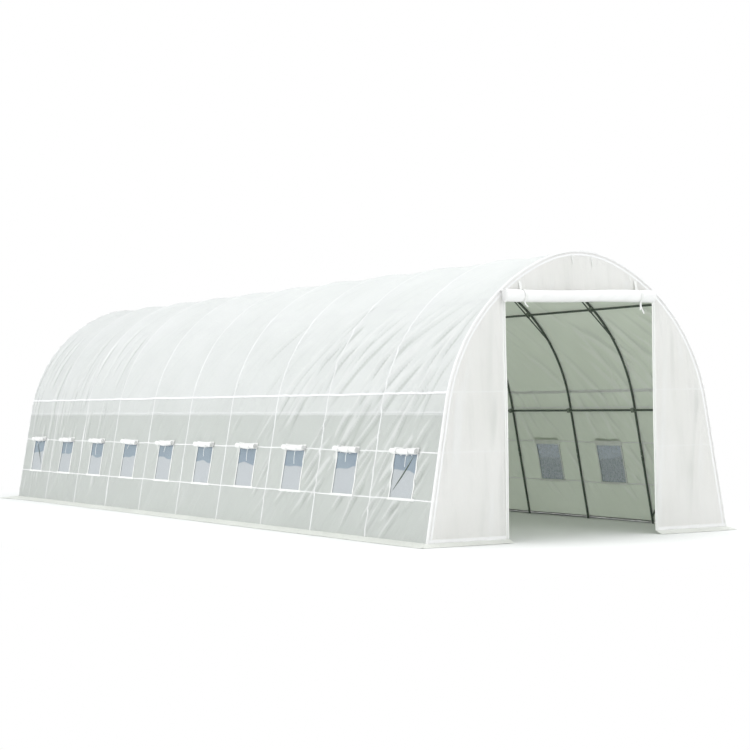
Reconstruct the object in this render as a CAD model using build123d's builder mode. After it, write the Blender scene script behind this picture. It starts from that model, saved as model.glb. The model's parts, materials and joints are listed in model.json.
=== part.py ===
from build123d import *
import math
import os

# Polytunnel greenhouse, in millimetres.
# X runs across the tunnel, Y along it and Z up. The door end faces -Y.
# The origin is on the ground, at the middle of the plan.

# ---------------------------------------------------------------- overall sizes
tunnel_width = 3000.0        # across the cover at the ground
ridge_height = 2360.0        # top of the cover at the crown
bay_length = 1000.0          # from one hoop's centre to the next
bay_count = 10

# ---------------------------------------------------------------- arch outline
leg_lean = 10.0              # degrees that each leg leans in from upright
leg_rise = 1105.0            # height at which the straight leg turns into the shoulder
shoulder_turn = 59.45        # degrees that the shoulder arc turns before the crown

# ---------------------------------------------------------------- tubes
tube_diameter = 20.0         # hoops and purlins
corner_brace_diameter = 16.0
shoulder_brace_diameter = 12.0
mid_purlin_height = 1030.0   # where the mid purlin crosses the legs
upper_purlin_angle = 45.5    # degrees round the shoulder arc, from level
brace_clearance = 2.0        # between a shoulder brace and the clamp it passes
corner_brace_foot = 60.0     # up the leg of the second hoop
corner_brace_drop = 5.0      # of its head below the top of the end hoop's leg
clamp_width = 40.0           # along both tubes that a clamp holds
clamp_wall = 4.0             # of clamp past the purlin
clamp_fillet = 4.0

# ---------------------------------------------------------------- cover and ends
film = 4.0                   # thickness of every sheet of film
net = 2.0                    # thickness of a window's net
crease_height = 30.0         # where the film turns out into the ground skirt
skirt_reach = 160.0          # how far the skirt runs out over the ground
door_width = 1460.0
door_head = 1990.0           # height of the gable panel's lower edge
door_roll_diameter = 120.0
door_roll_overlap = 10.0     # past each jamb
curtain_clearance = 8.0      # under the closed curtain at the back

# ---------------------------------------------------------------- side windows
window_width = 380.0
window_sill = 355.0          # height of the lower edge
window_top = 735.0           # height of the upper edge
flap_roll_diameter = 50.0
flap_roll_length = 420.0

# ---------------------------------------------------------------- fits
seat_gap = 0.3               # between a piece and what it rests on
clamp_gap = 0.5              # round a tube in its clamp

# ---------------------------------------------------------------- worked-out sizes
half_width = tunnel_width / 2
frame_length = bay_length * bay_count
tube_radius = tube_diameter / 2
end_panel_back = frame_length / 2 + tube_radius + seat_gap
cover_length = 2 * (end_panel_back + film)
hoop_stations = [(i - bay_count / 2) * bay_length for i in range(bay_count + 1)]
bay_centres = [(i + 0.5 - bay_count / 2) * bay_length for i in range(bay_count)]

lean = math.radians(leg_lean)
outward = (math.cos(lean), math.sin(lean))
leg_length = leg_rise / math.cos(lean)
leg_top = (half_width - leg_rise * math.tan(lean), leg_rise)

# The shoulder arc runs on from the leg, and the crown arc from the shoulder, with
# no corner. Their radii are those that bring the crown to the ridge's height.
join_angle = leg_lean + shoulder_turn
join = math.radians(join_angle)
crown_rise = (1 - math.sin(join)) / math.cos(join)
shoulder_rise = math.sin(join) - math.sin(lean)
shoulder_draw = math.cos(lean) - math.cos(join)
shoulder_radius = (ridge_height - leg_rise - leg_top[0] * crown_rise) / (
    shoulder_rise - shoulder_draw * crown_rise
)
crown_radius = (leg_top[0] - shoulder_radius * shoulder_draw) / math.cos(join)
shoulder_centre = (
    leg_top[0] - shoulder_radius * outward[0],
    leg_top[1] - shoulder_radius * outward[1],
)
crown_centre_height = ridge_height - crown_radius

# Distances in from the outside of the cover.
panel_inset = film + seat_gap
hoop_inset = film + seat_gap + tube_radius
purlin_inset = hoop_inset + tube_diameter + seat_gap
clamp_depth = purlin_inset - hoop_inset + tube_radius + clamp_wall

# Each right-hand leg lies in this plane: its X runs along the tunnel, its Y up
# the leg and its Z out of the wall.
wall_plane = Plane(
    origin=(half_width, 0, 0), x_dir=(0, 1, 0), z_dir=(outward[0], 0, outward[1])
)

os.makedirs("parts", exist_ok=True)


def save(piece, name):
    piece.part.label = name
    export_step(piece.part, f"parts/{name}.step")


def save_pair(right, name):
    """Write a right-hand piece and its mirror image on the left."""
    save(right, f"{name}_right")
    with BuildPart() as left:
        add(mirror(right.part, about=Plane.YZ))
    save(left, f"{name}_left")


def leg_point(inset, height):
    """The point of the right leg's line at this height, in X and Z."""
    return (half_width - height * math.tan(lean) - inset / math.cos(lean), height)


def shoulder_point(inset, angle):
    """The point of the right shoulder arc at this angle from level, in X and Z."""
    radius = shoulder_radius - inset
    return (
        shoulder_centre[0] + radius * math.cos(math.radians(angle)),
        shoulder_centre[1] + radius * math.sin(math.radians(angle)),
    )


def outward_angle(inset, height):
    """The angle from level at which the right side faces outwards at this height."""
    rise = (height - shoulder_centre[1]) / (shoulder_radius - inset)
    return max(leg_lean, math.degrees(math.asin(rise)))


def side_point(inset, height):
    """The point of the right side at this height, on its leg or its shoulder."""
    angle = outward_angle(inset, height)
    if angle > leg_lean:
        return shoulder_point(inset, angle)
    return leg_point(inset, height)


def arch_right_half(inset, foot_height):
    """Draw the right half of the arch, from its foot to the crown."""
    Line(leg_point(inset, foot_height), shoulder_point(inset, leg_lean))
    CenterArc(shoulder_centre, shoulder_radius - inset, leg_lean, shoulder_turn)
    CenterArc((0, crown_centre_height), crown_radius - inset, join_angle, 90 - join_angle)


def arc_strip(centre, radius, start, turn):
    """A strip of cover bent to an arc, as long as the tunnel."""
    inner = radius - film
    with BuildPart() as strip:
        with BuildSketch(Plane.XZ.offset(-cover_length / 2)):
            with BuildLine():
                outer_arc = CenterArc(centre, radius, start, turn)
                inner_arc = CenterArc(centre, inner, start, turn)
                Line(outer_arc @ 0, inner_arc @ 0)
                Line(outer_arc @ 1, inner_arc @ 1)
            make_face()
        extrude(amount=cover_length)
    return strip


def end_sheet(outline_inset, jamb, floor, ceiling, y_back, right_only):
    """A flat sheet across an end of the tunnel, inside the arch.

    It is kept outside the jamb lines when right_only is true, and otherwise
    between them. Its faces lie at y_back and one film nearer the outdoors.
    """
    facing = math.copysign(1, y_back)
    with BuildPart() as sheet:
        with BuildSketch(Plane.XZ.offset(-y_back)):
            with BuildLine():
                arch_right_half(outline_inset, 0)
                Line((0, ridge_height - outline_inset), (0, 0))
                Line((0, 0), leg_point(outline_inset, 0))
            make_face()
            if not right_only:
                mirror(about=Plane.YZ)
            kept_middle = (jamb + tunnel_width) / 2 if right_only else 0
            kept_width = tunnel_width - jamb if right_only else 2 * jamb
            with Locations((kept_middle, (floor + ceiling) / 2)):
                Rectangle(kept_width, ceiling - floor, mode=Mode.INTERSECT)
        extrude(amount=-facing * film)
    return sheet


# ---------------------------------------------------------------- hoops
foot_overrun = tube_diameter
with BuildPart() as hoop:
    with BuildLine(Plane.XZ) as hoop_line:
        arch_right_half(hoop_inset, -foot_overrun)
        mirror(about=Plane.YZ)
    foot = leg_point(hoop_inset, -foot_overrun)
    foot_plane = Plane(
        origin=(foot[0], 0, foot[1]), z_dir=(-math.sin(lean), 0, math.cos(lean))
    )
    with BuildSketch(foot_plane):
        Circle(tube_radius)
    sweep(path=hoop_line.wire())
    split(bisect_by=Plane.XY, keep=Keep.TOP)

for number, station in enumerate(hoop_stations, start=1):
    with BuildPart() as placed_hoop:
        with Locations((0, station, 0)):
            add(hoop.part)
    save(placed_hoop, f"hoop_{number:02d}")

# ---------------------------------------------------------------- purlins
ridge_point = (0, ridge_height - purlin_inset)
upper_point = shoulder_point(purlin_inset, upper_purlin_angle)
mid_point = side_point(purlin_inset, mid_purlin_height)
mid_purlin_angle = outward_angle(purlin_inset, mid_purlin_height)


def purlin(point):
    """A straight tube along the tunnel, through this point of the arch's plane."""
    with BuildPart() as tube:
        with BuildSketch(Plane.XZ.offset(-frame_length / 2)):
            with Locations(point):
                Circle(tube_radius)
        extrude(amount=frame_length)
    return tube


save(purlin(ridge_point), "ridge_purlin")
save_pair(purlin(upper_point), "upper_purlin")
save_pair(purlin(mid_point), "mid_purlin")


# ---------------------------------------------------------------- clamps
def clamp(point, angle):
    """A block that holds a purlin to a hoop, whose outward direction is at this angle."""
    direction = (math.cos(math.radians(angle)), 0, math.sin(math.radians(angle)))
    centre_plane = Plane(origin=(point[0], 0, point[1]), x_dir=(0, 1, 0), z_dir=direction)
    purlin_to_hoop = purlin_inset - hoop_inset
    with BuildPart() as block:
        with BuildSketch(centre_plane.offset(-tube_radius - clamp_wall)):
            RectangleRounded(clamp_width, clamp_width, clamp_fillet)
        extrude(amount=clamp_depth)
        with BuildSketch(Plane.XZ.offset(-clamp_width)):
            with Locations(point):
                Circle(tube_radius + clamp_gap)
        extrude(amount=2 * clamp_width, mode=Mode.SUBTRACT)
        across = centre_plane.y_dir
        hoop_middle = centre_plane.offset(purlin_to_hoop).origin
        with BuildSketch(Plane(origin=hoop_middle - across * clamp_width, z_dir=across)):
            Circle(tube_radius + clamp_gap)
        extrude(amount=2 * clamp_width, mode=Mode.SUBTRACT)
    return block


def clamp_row(point, angle, both_sides):
    block = clamp(point, angle)
    with BuildPart() as row:
        with Locations([(0, station, 0) for station in hoop_stations]):
            add(block.part)
        frame_limit = frame_length + tube_diameter
        Box(tunnel_width, frame_limit, 2 * ridge_height, mode=Mode.INTERSECT)
        if both_sides:
            mirror(about=Plane.YZ)
    return row


save(clamp_row(ridge_point, 90, both_sides=False), "ridge_clamps")
save(clamp_row(upper_point, upper_purlin_angle, both_sides=True), "upper_clamps")
save(clamp_row(mid_point, mid_purlin_angle, both_sides=True), "mid_clamps")

# ---------------------------------------------------------------- braces
# A straight rod bridges each shoulder, beside its hoop. Its middle passes just
# inside the upper purlin's clamp, and its ends meet the hoop's centre line.
shoulder_brace_radius = shoulder_brace_diameter / 2
brace_depth = clamp_depth + brace_clearance + shoulder_brace_radius
brace_reach = math.degrees(math.acos(1 - brace_depth / (shoulder_radius - hoop_inset)))
brace_start = shoulder_point(hoop_inset, upper_purlin_angle - brace_reach)
brace_end = shoulder_point(hoop_inset, upper_purlin_angle + brace_reach)
brace_side = tube_radius + seat_gap + shoulder_brace_radius
brace_vector = Vector(brace_end[0] - brace_start[0], 0, brace_end[1] - brace_start[1])
rod_planes = [
    Plane(origin=(brace_start[0], station - brace_side, brace_start[1]), z_dir=brace_vector)
    for station in hoop_stations[1:-1]
]
with BuildPart() as shoulder_braces:
    with BuildSketch(*rod_planes):
        Circle(shoulder_brace_radius)
    extrude(amount=brace_vector.length)
    mirror(about=Plane.YZ)
save(shoulder_braces, "shoulder_braces")

# A diagonal in each corner ties the foot of the second hoop to the head of the end
# hoop's leg, level with the hoops' own tubes.
leg_plane = wall_plane.offset(-hoop_inset)
end_hoop, second_hoop = hoop_stations[:2]
brace_foot = leg_plane.from_local_coords(Vector(second_hoop, corner_brace_foot, 0))
brace_head = leg_plane.from_local_coords(
    Vector(end_hoop, leg_length - corner_brace_drop, 0)
)
brace_axis = brace_head - brace_foot
with BuildPart() as corner_braces:
    with BuildSketch(Plane(origin=brace_foot, z_dir=brace_axis)):
        Circle(corner_brace_diameter / 2)
    extrude(amount=brace_axis.length)
    clear_of_hoops = bay_length - tube_diameter - 2 * seat_gap
    with Locations((half_width / 2, (end_hoop + second_hoop) / 2, leg_rise)):
        Box(tunnel_width, clear_of_hoops, 2 * leg_rise, mode=Mode.INTERSECT)
    mirror(about=Plane.XZ)
    mirror(about=Plane.YZ)
save(corner_braces, "corner_braces")

# ---------------------------------------------------------------- cover
wall_foot = (crease_height - film) / math.cos(lean)
sill = window_sill / math.cos(lean)
head = window_top / math.cos(lean)
with BuildPart() as wall:
    with BuildSketch(wall_plane):
        with Locations((0, (wall_foot + leg_length) / 2)):
            Rectangle(cover_length, leg_length - wall_foot)
        with Locations([(centre, (sill + head) / 2) for centre in bay_centres]):
            Rectangle(window_width, head - sill, mode=Mode.SUBTRACT)
    extrude(amount=-film)
save_pair(wall, "cover_wall")

lower_strip = arc_strip(shoulder_centre, shoulder_radius, leg_lean, shoulder_turn / 2)
save_pair(lower_strip, "cover_lower_shoulder")
upper_start = leg_lean + shoulder_turn / 2
upper_strip = arc_strip(shoulder_centre, shoulder_radius, upper_start, shoulder_turn / 2)
save_pair(upper_strip, "cover_upper_shoulder")
crown_turn = 180 - 2 * join_angle
crown_strip = arc_strip((0, crown_centre_height), crown_radius, join_angle, crown_turn)
save(crown_strip, "cover_crown")

# ---------------------------------------------------------------- window nets and flap rolls
net_width = window_width - 2 * seat_gap
net_height = head - sill - 2 * seat_gap
net_depth = (film + net) / 2
with BuildPart() as window_nets:
    with BuildSketch(wall_plane.offset(-net_depth)):
        with Locations([(centre, (sill + head) / 2) for centre in bay_centres]):
            Rectangle(net_width, net_height)
    extrude(amount=net)
save_pair(window_nets, "window_nets")

flap_roll_radius = flap_roll_diameter / 2
flap_roll_plane = wall_plane.offset(flap_roll_radius + seat_gap)
flap_roll_ends = [
    flap_roll_plane.from_local_coords(Vector(centre - flap_roll_length / 2, head, 0))
    for centre in bay_centres
]
with BuildPart() as window_rolls:
    with BuildSketch(*[Plane(origin=end, z_dir=(0, 1, 0)) for end in flap_roll_ends]):
        Circle(flap_roll_radius)
    extrude(amount=flap_roll_length)
save_pair(window_rolls, "window_rolls")

# ---------------------------------------------------------------- door end
jamb = door_width / 2
panel_floor = crease_height - film
front_panel = end_sheet(panel_inset, jamb, panel_floor, door_head, -end_panel_back, True)
save_pair(front_panel, "front_panel")
gable_reach = shoulder_point(panel_inset, join_angle)[0] + half_width


def gable(y_back):
    """The sheet over a doorway, from the door head to the crown."""
    return end_sheet(
        panel_inset, gable_reach, door_head + seat_gap, ridge_height, y_back, False
    )


save(gable(-end_panel_back), "front_gable")

roll_y = -(end_panel_back + film + seat_gap + door_roll_diameter / 2)
door_roll_length = door_width + 2 * door_roll_overlap
with BuildPart() as door_roll:
    with BuildSketch(Plane.YZ.offset(-door_roll_length / 2)):
        with Locations((roll_y, door_head)):
            Circle(door_roll_diameter / 2)
    extrude(amount=door_roll_length)
save(door_roll, "front_door_roll")

# ---------------------------------------------------------------- back end
back_panel = end_sheet(panel_inset, jamb, panel_floor, door_head, end_panel_back, True)
save_pair(back_panel, "back_panel")
save(gable(end_panel_back), "back_gable")
back_curtain = end_sheet(
    panel_inset, jamb - seat_gap, curtain_clearance, door_head, end_panel_back, False
)
save(back_curtain, "back_door_curtain")

# ---------------------------------------------------------------- ground skirt
# The film turns out at the crease and slopes down to the ground on every side.
wall_edge = leg_point(0, crease_height - film)[0]
end_edge = cover_length / 2
skirt_inner = wall_edge + seat_gap
skirt_outer = wall_edge + skirt_reach
skirt_end_inner = end_edge + seat_gap
skirt_end_outer = end_edge + skirt_reach


def skirt_section(inner, outer):
    """The corners of a skirt's cross-section, whose outer edge lies on the ground."""
    return [
        (inner, crease_height),
        (inner, crease_height - film),
        (outer, 0),
        (outer, film),
    ]


with BuildPart() as side_skirt:
    with BuildSketch(Plane.XZ.offset(-skirt_end_outer)):
        Polygon(*skirt_section(skirt_inner, skirt_outer), align=None)
    extrude(amount=2 * skirt_end_outer)
    for end in (-1, 1):
        mitre = Plane(origin=(skirt_inner, end * end_edge, 0), z_dir=(1, -end, 0))
        split(bisect_by=mitre, keep=Keep.TOP)
save_pair(side_skirt, "skirt")

with BuildPart() as end_skirt:
    with BuildSketch(Plane.YZ.offset(jamb)):
        Polygon(*skirt_section(skirt_end_inner, skirt_end_outer), align=None)
    extrude(amount=skirt_outer - jamb)
    mitre = Plane(origin=(skirt_inner, skirt_end_inner, 0), z_dir=(-1, 1, 0))
    split(bisect_by=mitre, keep=Keep.TOP)
    mirror(about=Plane.YZ)
save(end_skirt, "skirt_back")
with BuildPart() as front_skirt:
    add(mirror(end_skirt.part, about=Plane.XZ))
save(front_skirt, "skirt_front")
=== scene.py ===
# %% [markdown]
# # A polytunnel greenhouse
# The frame of the tunnel, its hoops, purlins, clamps and braces, comes from the
# CAD model at its real size. This lesson dresses it: each CAD part gets a finish,
# and the film, nets, rolls, hems and straps are made as soft sheets. Everything is
# in metres, with Z up, Y along the tunnel and the doorway facing -Y.

# %% Load the frame
import json
import math

import bmesh
import bpy
import numpy as np
from mathutils import Matrix, Vector, noise

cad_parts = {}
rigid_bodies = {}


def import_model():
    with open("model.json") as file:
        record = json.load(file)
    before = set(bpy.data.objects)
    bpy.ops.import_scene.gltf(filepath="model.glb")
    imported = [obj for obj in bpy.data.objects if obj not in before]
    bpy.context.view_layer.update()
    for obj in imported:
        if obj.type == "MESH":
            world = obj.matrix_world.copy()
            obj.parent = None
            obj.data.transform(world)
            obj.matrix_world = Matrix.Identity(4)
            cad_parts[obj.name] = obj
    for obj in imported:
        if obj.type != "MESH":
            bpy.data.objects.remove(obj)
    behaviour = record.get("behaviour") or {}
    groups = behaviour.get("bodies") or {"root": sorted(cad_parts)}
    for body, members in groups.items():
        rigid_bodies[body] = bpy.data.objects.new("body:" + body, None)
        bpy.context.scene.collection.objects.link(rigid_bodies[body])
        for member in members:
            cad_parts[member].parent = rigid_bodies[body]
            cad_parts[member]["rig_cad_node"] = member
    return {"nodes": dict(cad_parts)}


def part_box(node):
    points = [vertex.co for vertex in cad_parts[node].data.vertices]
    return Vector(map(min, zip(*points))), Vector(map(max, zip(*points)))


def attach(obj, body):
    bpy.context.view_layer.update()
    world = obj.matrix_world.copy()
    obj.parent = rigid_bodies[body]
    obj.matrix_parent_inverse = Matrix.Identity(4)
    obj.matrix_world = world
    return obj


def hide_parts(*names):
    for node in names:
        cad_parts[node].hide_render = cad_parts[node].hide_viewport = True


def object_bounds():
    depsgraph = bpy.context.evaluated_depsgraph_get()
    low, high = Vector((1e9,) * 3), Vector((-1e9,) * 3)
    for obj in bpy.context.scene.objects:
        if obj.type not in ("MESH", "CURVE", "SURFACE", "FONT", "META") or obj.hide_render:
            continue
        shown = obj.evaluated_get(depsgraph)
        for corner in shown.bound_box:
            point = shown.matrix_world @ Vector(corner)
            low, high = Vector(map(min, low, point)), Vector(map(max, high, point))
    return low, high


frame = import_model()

cad_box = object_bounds()
bpy.ops.object.select_all(action="DESELECT")
print("CAD nodes:", len(frame["nodes"]))

# %% [markdown]
# ## The arch, read back from the frame
# Every sheet of film follows one outline: a straight leg that leans in, a shoulder
# arc and a crown arc that meet with no corner. It could be traced from the CAD
# meshes, but two angles and three boxes say all of it. A place on the cover is
# given by its girth: the distance round the arch from the crown, negative on the
# left.

# %% Sizes of the arch
LEAN = math.radians(10.0)
SHOULDER_TURN = math.radians(59.45)
JOIN = LEAN + SHOULDER_TURN
wall_low, wall_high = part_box("cover_wall_right")
ridge_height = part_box("cover_crown")[1][2]
leg_rise = wall_high[2]
half_width = wall_high[0] + wall_low[2] * math.tan(LEAN)
leg_top_x = half_width - leg_rise * math.tan(LEAN)
crown_rise = (1 - math.sin(JOIN)) / math.cos(JOIN)
shoulder_rise = math.sin(JOIN) - math.sin(LEAN)
shoulder_draw = math.cos(LEAN) - math.cos(JOIN)
shoulder_radius = (ridge_height - leg_rise - leg_top_x * crown_rise) / (
    shoulder_rise - shoulder_draw * crown_rise
)
crown_radius = (leg_top_x - shoulder_radius * shoulder_draw) / math.cos(JOIN)
shoulder_x = leg_top_x - shoulder_radius * math.cos(LEAN)
shoulder_z = leg_rise - shoulder_radius * math.sin(LEAN)
crown_z = ridge_height - crown_radius
crown_girth = crown_radius * (math.pi / 2 - JOIN)
leg_girth = crown_girth + shoulder_radius * SHOULDER_TURN
crease_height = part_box("skirt_right")[1][2]
crease_girth = leg_girth + (leg_rise - crease_height) / math.cos(LEAN)
print(f"shoulder radius {shoulder_radius:.3f} m, crown radius {crown_radius:.3f} m")

hoop_names = sorted(n for n in frame["nodes"] if n.startswith("hoop_"))
hoop_places = [(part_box(n)[0][1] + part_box(n)[1][1]) / 2 for n in hoop_names]
front_hoop, back_hoop = hoop_places[0], hoop_places[-1]
bay = hoop_places[1] - hoop_places[0]
bay_count = len(hoop_places) - 1
cover_front, cover_back = wall_low[1], wall_high[1]
print("bays:", bay_count, "of", round(bay, 3), "m")


# %% Follow the outline
def outline(girth, inset=0.0):
    """X, Z and the outward X and Z of the arch at each girth, moved in by inset."""
    girth = np.asarray(girth, dtype=float)
    side = np.where(girth < 0, -1.0, 1.0)
    far = np.abs(girth)
    on_crown = far <= crown_girth
    on_leg = far > leg_girth
    turn = np.where(
        on_crown,
        math.pi / 2 - far / crown_radius,
        JOIN - (far - crown_girth) / shoulder_radius,
    )
    turn = np.where(on_leg, LEAN, turn)
    out_x, out_z = np.cos(turn), np.sin(turn)
    radius = np.where(on_crown, crown_radius, shoulder_radius)
    x = np.where(on_crown, 0.0, shoulder_x) + radius * out_x
    z = np.where(on_crown, crown_z, shoulder_z) + radius * out_z
    down = far - leg_girth
    x = np.where(on_leg, leg_top_x + down * math.sin(LEAN), x) - inset * out_x
    z = np.where(on_leg, leg_rise - down * math.cos(LEAN), z) - inset * out_z
    return side * x, z, side * out_x, out_z


def girth_at(height):
    """The girth of the right side at this height."""
    if height <= leg_rise:
        return leg_girth + (leg_rise - height) / math.cos(LEAN)
    turn = math.asin(min(1.0, (height - shoulder_z) / shoulder_radius))
    return crown_girth + (JOIN - turn) * shoulder_radius


def depth_inside(x, z):
    """How far in from the arch's outline each point of an end is."""
    x = np.abs(x)
    on_leg = (leg_top_x - x) * math.cos(LEAN) + (leg_rise - z) * math.sin(LEAN)
    shoulder = shoulder_radius - np.hypot(x - shoulder_x, z - shoulder_z)
    crown = crown_radius - np.hypot(x, z - crown_z)
    turn = np.arctan2(z - shoulder_z, x - shoulder_x)
    return np.where(turn < LEAN, on_leg, np.where(turn < JOIN, shoulder, crown))


def half_width_at(height, inset):
    """Half the width of the arch at each height, moved in by inset."""
    height = np.asarray(height, dtype=float)
    leg = half_width - height * math.tan(LEAN) - inset / math.cos(LEAN)
    shoulder = shoulder_x + np.sqrt(
        np.maximum((shoulder_radius - inset) ** 2 - (height - shoulder_z) ** 2, 0)
    )
    crown = np.sqrt(np.maximum((crown_radius - inset) ** 2 - (height - crown_z) ** 2, 0))
    leg_end = leg_rise - inset * math.sin(LEAN)
    shoulder_end = shoulder_z + (shoulder_radius - inset) * math.sin(JOIN)
    return np.where(height < leg_end, leg, np.where(height < shoulder_end, shoulder, crown))


# %% [markdown]
# ## The camera
# The tunnel is seen from a little over a metre off the ground, well away from the
# door end and to its left, so that the long left side runs off to the left and the
# doorway still shows the far wall. A long lens keeps the perspective gentle. The
# camera comes first, because every later choice of detail is judged through it.

# %% Place the camera
CAMERA_SIDE = 8.89       # left of the tunnel's middle
CAMERA_BACK = 12.53      # in front of the end hoop
CAMERA_HEIGHT = 1.16
TURNED = math.radians(29.06)
TIPPED = math.radians(0.76)
ROLLED = math.radians(-0.88)

camera_data = bpy.data.cameras.new("camera")
camera_data.lens = 89.3
camera_data.sensor_width = 36.0
camera = bpy.data.objects.new("camera", camera_data)
bpy.context.scene.collection.objects.link(camera)
place = Vector((-CAMERA_SIDE, front_hoop - CAMERA_BACK, CAMERA_HEIGHT))
aim = Matrix.Rotation(-TURNED, 4, "Z") @ Matrix.Rotation(math.pi / 2 + TIPPED, 4, "X")
camera.matrix_world = Matrix.Translation(place) @ aim @ Matrix.Rotation(ROLLED, 4, "Z")
bpy.context.scene.camera = camera
print("camera at", tuple(round(v, 2) for v in place))

# %% [markdown]
# ## Light and floor
# A tunnel stands in open daylight: an even sky with one broad light from above.
# The film lets part of it through, which is what lights the inside. The floor is
# plain and pale, and the sky is white where the camera sees it and for rays that come through a surface.

# %% Light the scene
SKY_STRENGTH = 0.95
world = bpy.data.worlds.new("sky")
bpy.context.scene.world = world
world.use_nodes = True
sky_nodes = world.node_tree.nodes
sky_links = world.node_tree.links
sky_nodes.clear()
sky_out = sky_nodes.new("ShaderNodeOutputWorld")
rays = sky_nodes.new("ShaderNodeLightPath")
seen = sky_nodes.new("ShaderNodeMath")
seen.operation = "MAXIMUM"
sky_links.new(rays.outputs["Is Camera Ray"], seen.inputs[0])
sky_links.new(rays.outputs["Is Transmission Ray"], seen.inputs[1])
daylight = sky_nodes.new("ShaderNodeBackground")
daylight.inputs["Color"].default_value = (0.97, 0.985, 1.0, 1.0)
daylight.inputs["Strength"].default_value = SKY_STRENGTH
white = sky_nodes.new("ShaderNodeBackground")
white.inputs["Color"].default_value = (1.0, 1.0, 1.0, 1.0)
white.inputs["Strength"].default_value = 1.0
choice = sky_nodes.new("ShaderNodeMixShader")
sky_links.new(seen.outputs[0], choice.inputs[0])
sky_links.new(daylight.outputs[0], choice.inputs[1])
sky_links.new(white.outputs[0], choice.inputs[2])
sky_links.new(choice.outputs[0], sky_out.inputs["Surface"])


def soft_light(name, place, aim, size, power):
    """A square lamp that shines from one place towards another."""
    data = bpy.data.lights.new(name, "AREA")
    data.size = size
    data.energy = power
    lamp = bpy.data.objects.new(name, data)
    bpy.context.scene.collection.objects.link(lamp)
    lamp.location = place
    lamp.rotation_euler = (Vector(aim) - Vector(place)).to_track_quat("-Z", "Y").to_euler()
    return lamp


soft_light("overhead", (1.5, -2.0, 15.0), (0.0, 0.0, 0.0), 12.0, 1300.0)
soft_light("left_side", (-15.0, 1.0, 5.0), (0.0, 0.0, 1.0), 9.0, 700.0)
soft_light("door_side", (3.0, -19.0, 6.0), (0.0, front_hoop, 1.0), 6.0, 390.0)
bpy.context.scene.view_settings.view_transform = "Standard"

# %% Lay the floor
bpy.ops.mesh.primitive_plane_add(size=160.0, location=(0, 0, cad_box[0][2] - 0.0005))
floor = bpy.context.object
floor.name = "floor"

# %% [markdown]
# ## Writing materials as sums
# A finish is easier to read as a sum than as a web of nodes. A Finish holds one
# material, and a Wire is one output socket in it: adding or multiplying Wires adds
# the Math nodes. Colours go through Mix nodes, because a Math node turns them grey.


# %% A small kit for materials
class Finish:
    """A material that is being made."""

    def __init__(self, name):
        self.material = bpy.data.materials.new(name)
        self.material.use_nodes = True
        self.tree = self.material.node_tree
        self.tree.nodes.clear()

    def add(self, kind, settings=None, inputs=None, output=0):
        """Add a node, set it up, then give its sockets values or Wires."""
        node = self.tree.nodes.new(kind)
        for name, value in (settings or {}).items():
            setattr(node, name, value)
        for key, value in (inputs or {}).items():
            if isinstance(value, Wire):
                self.tree.links.new(value.socket, node.inputs[key])
            else:
                node.inputs[key].default_value = value
        return Wire(self, node.outputs[output])

    def place(self):
        """X, Y and Z of the point being shaded."""
        where = self.add("ShaderNodeTexCoord", output="Object")
        split = self.tree.nodes.new("ShaderNodeSeparateXYZ")
        self.tree.links.new(where.socket, split.inputs[0])
        return [Wire(self, split.outputs[i]) for i in range(3)]

    def join(self, x, y, z):
        return self.add("ShaderNodeCombineXYZ", inputs={0: x, 1: y, 2: z})

    def grain(self, vector, scale, detail=3.0, roughness=0.5):
        """Smooth noise from 0 to 1."""
        return self.add(
            "ShaderNodeTexNoise",
            inputs={"Vector": vector, "Scale": scale, "Detail": detail, "Roughness": roughness},
        )

    def attribute(self, name):
        """A number that the mesh holds at each of its points."""
        return self.add("ShaderNodeAttribute", {"attribute_name": name}, output="Fac")

    def blend(self, share, first, second):
        """The first colour where share is 0, turning to the second where it is 1."""
        return self.add(
            "ShaderNodeMix", {"data_type": "RGBA"}, {0: share, 6: first, 7: second}, output=2
        )

    def bump(self, height, distance, strength=1.0):
        return self.add(
            "ShaderNodeBump",
            inputs={"Height": height, "Distance": distance, "Strength": strength},
        )

    def finish(self, shader):
        out = self.tree.nodes.new("ShaderNodeOutputMaterial")
        self.tree.links.new(shader.socket, out.inputs["Surface"])
        return self.material


class Wire:
    """One output socket, which can be used in sums."""

    def __init__(self, finish, socket):
        self.finish = finish
        self.socket = socket

    def sum(self, operation, first, second=0.0):
        return self.finish.add("ShaderNodeMath", {"operation": operation}, {0: first, 1: second})

    def __add__(self, other):
        return self.sum("ADD", self, other)

    __radd__ = __add__

    def __sub__(self, other):
        return self.sum("SUBTRACT", self, other)

    def __rsub__(self, other):
        return self.sum("SUBTRACT", other, self)

    def __mul__(self, other):
        return self.sum("MULTIPLY", self, other)

    __rmul__ = __mul__

    def __truediv__(self, other):
        return self.sum("DIVIDE", self, other)

    def either(self, other):
        return self.sum("MAXIMUM", self, other)

    def size(self):
        return self.sum("ABSOLUTE", self)

    def from_nearest(self, spacing):
        """The distance to the nearest whole number of spacings."""
        return self.sum("PINGPONG", self, spacing / 2)

    def fade(self, start, end):
        """1 up to start, falling smoothly to 0 at end."""
        return self.finish.add(
            "ShaderNodeMapRange",
            {"interpolation_type": "SMOOTHSTEP"},
            {"Value": self, 1: start, 2: end, 3: 1.0, 4: 0.0},
        )


print("material kit ready")

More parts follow.
